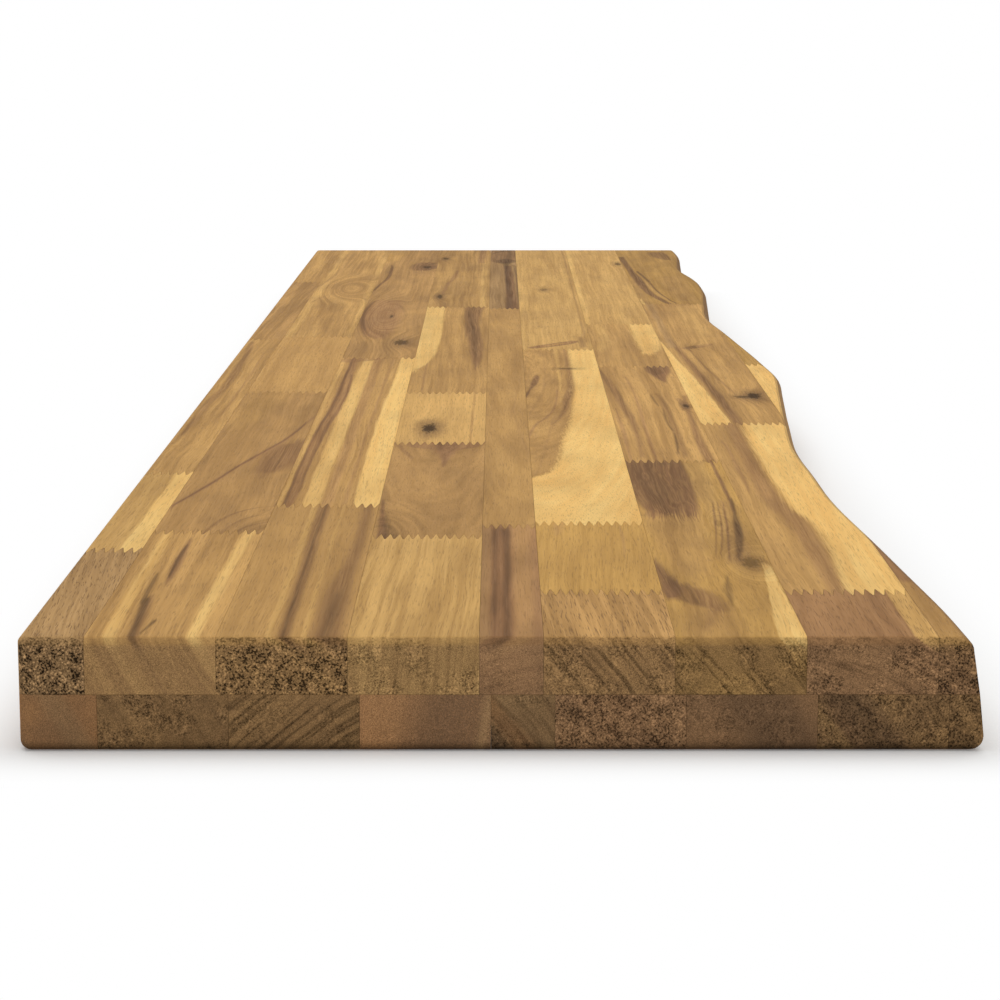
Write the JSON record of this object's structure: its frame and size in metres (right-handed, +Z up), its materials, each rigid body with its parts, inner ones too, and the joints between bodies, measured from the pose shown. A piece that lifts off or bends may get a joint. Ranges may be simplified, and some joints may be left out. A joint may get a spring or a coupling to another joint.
{
  "type": "table top",
  "caption": "Long table top of solid acacia: two layers of edge-glued staves with finger-jointed blocks, one straight edge and one natural live edge.",
  "frame": {"origin": "on the underside, under the middle of the board's overall box", "axes": "+X across the board towards the live edge, +Y along the board from the end that faces the camera, +Z up out of the top face"},
  "size_m": [0.334, 1.6, 0.0401],
  "materials": {
    "tan_acacia": "satin, warm tan heartwood",
    "golden_acacia": "satin, light golden wood",
    "brown_acacia": "satin, grey-brown heartwood with dark streaks",
    "red_acacia": "satin, red-brown heartwood",
    "sapwood_acacia": "satin, bright yellow sapwood beside heartwood"
  },
  "bodies": {
    "root": {"base_live_edge_block_1": "brown_acacia", "base_live_edge_block_2": "sapwood_acacia", "base_live_edge_block_3": "tan_acacia", "base_narrow_stave_block_1": "brown_acacia", "base_narrow_stave_block_2": "tan_acacia", "base_stave_2_block_1": "golden_acacia", "base_stave_2_block_2": "tan_acacia", "base_stave_2_block_3": "tan_acacia", "base_stave_3_block_1": "brown_acacia", "base_stave_3_block_2": "tan_acacia", "base_stave_4_block_1": "red_acacia", "base_stave_4_block_2": "tan_acacia", "base_stave_4_block_3": "tan_acacia", "base_stave_6_block_1": "golden_acacia", "base_stave_6_block_2": "brown_acacia", "base_stave_7_block_1": "red_acacia", "base_stave_7_block_2": "tan_acacia", "base_stave_8_block_1": "brown_acacia", "base_stave_8_block_2": "tan_acacia", "base_stave_8_block_3": "tan_acacia", "base_straight_edge_block_1": "red_acacia", "base_straight_edge_block_2": "tan_acacia", "base_straight_edge_block_3": "tan_acacia", "top_live_edge_block_1": "red_acacia", "top_live_edge_block_2": "sapwood_acacia", "top_live_edge_block_3": "brown_acacia", "top_live_edge_block_4": "brown_acacia", "top_narrow_stave_block_1": "red_acacia", "top_narrow_stave_block_2": "tan_acacia", "top_narrow_stave_block_3": "brown_acacia", "top_stave_2_block_1": "tan_acacia", "top_stave_2_block_2": "tan_acacia", "top_stave_2_block_3": "golden_acacia", "top_stave_2_block_4": "tan_acacia", "top_stave_3_block_1": "tan_acacia", "top_stave_3_block_2": "tan_acacia", "top_stave_3_block_3": "brown_acacia", "top_stave_4_block_1": "golden_acacia", "top_stave_4_block_2": "brown_acacia", "top_stave_4_block_3": "golden_acacia", "top_stave_4_block_4": "tan_acacia", "top_stave_4_block_5": "tan_acacia", "top_stave_6_block_1": "tan_acacia", "top_stave_6_block_2": "golden_acacia", "top_stave_6_block_3": "sapwood_acacia", "top_stave_6_block_4": "golden_acacia", "top_stave_7_block_1": "brown_acacia", "top_stave_7_block_2": "tan_acacia", "top_stave_7_block_3": "sapwood_acacia", "top_stave_7_block_4": "golden_acacia", "top_stave_8_block_1": "red_acacia", "top_stave_8_block_2": "sapwood_acacia", "top_stave_8_block_3": "sapwood_acacia", "top_stave_8_block_4": "brown_acacia", "top_straight_edge_block_1": "brown_acacia", "top_straight_edge_block_2": "tan_acacia", "top_straight_edge_block_3": "tan_acacia", "top_straight_edge_block_4": "brown_acacia", "top_straight_edge_block_5": "tan_acacia"}
  },
  "joints": []
}
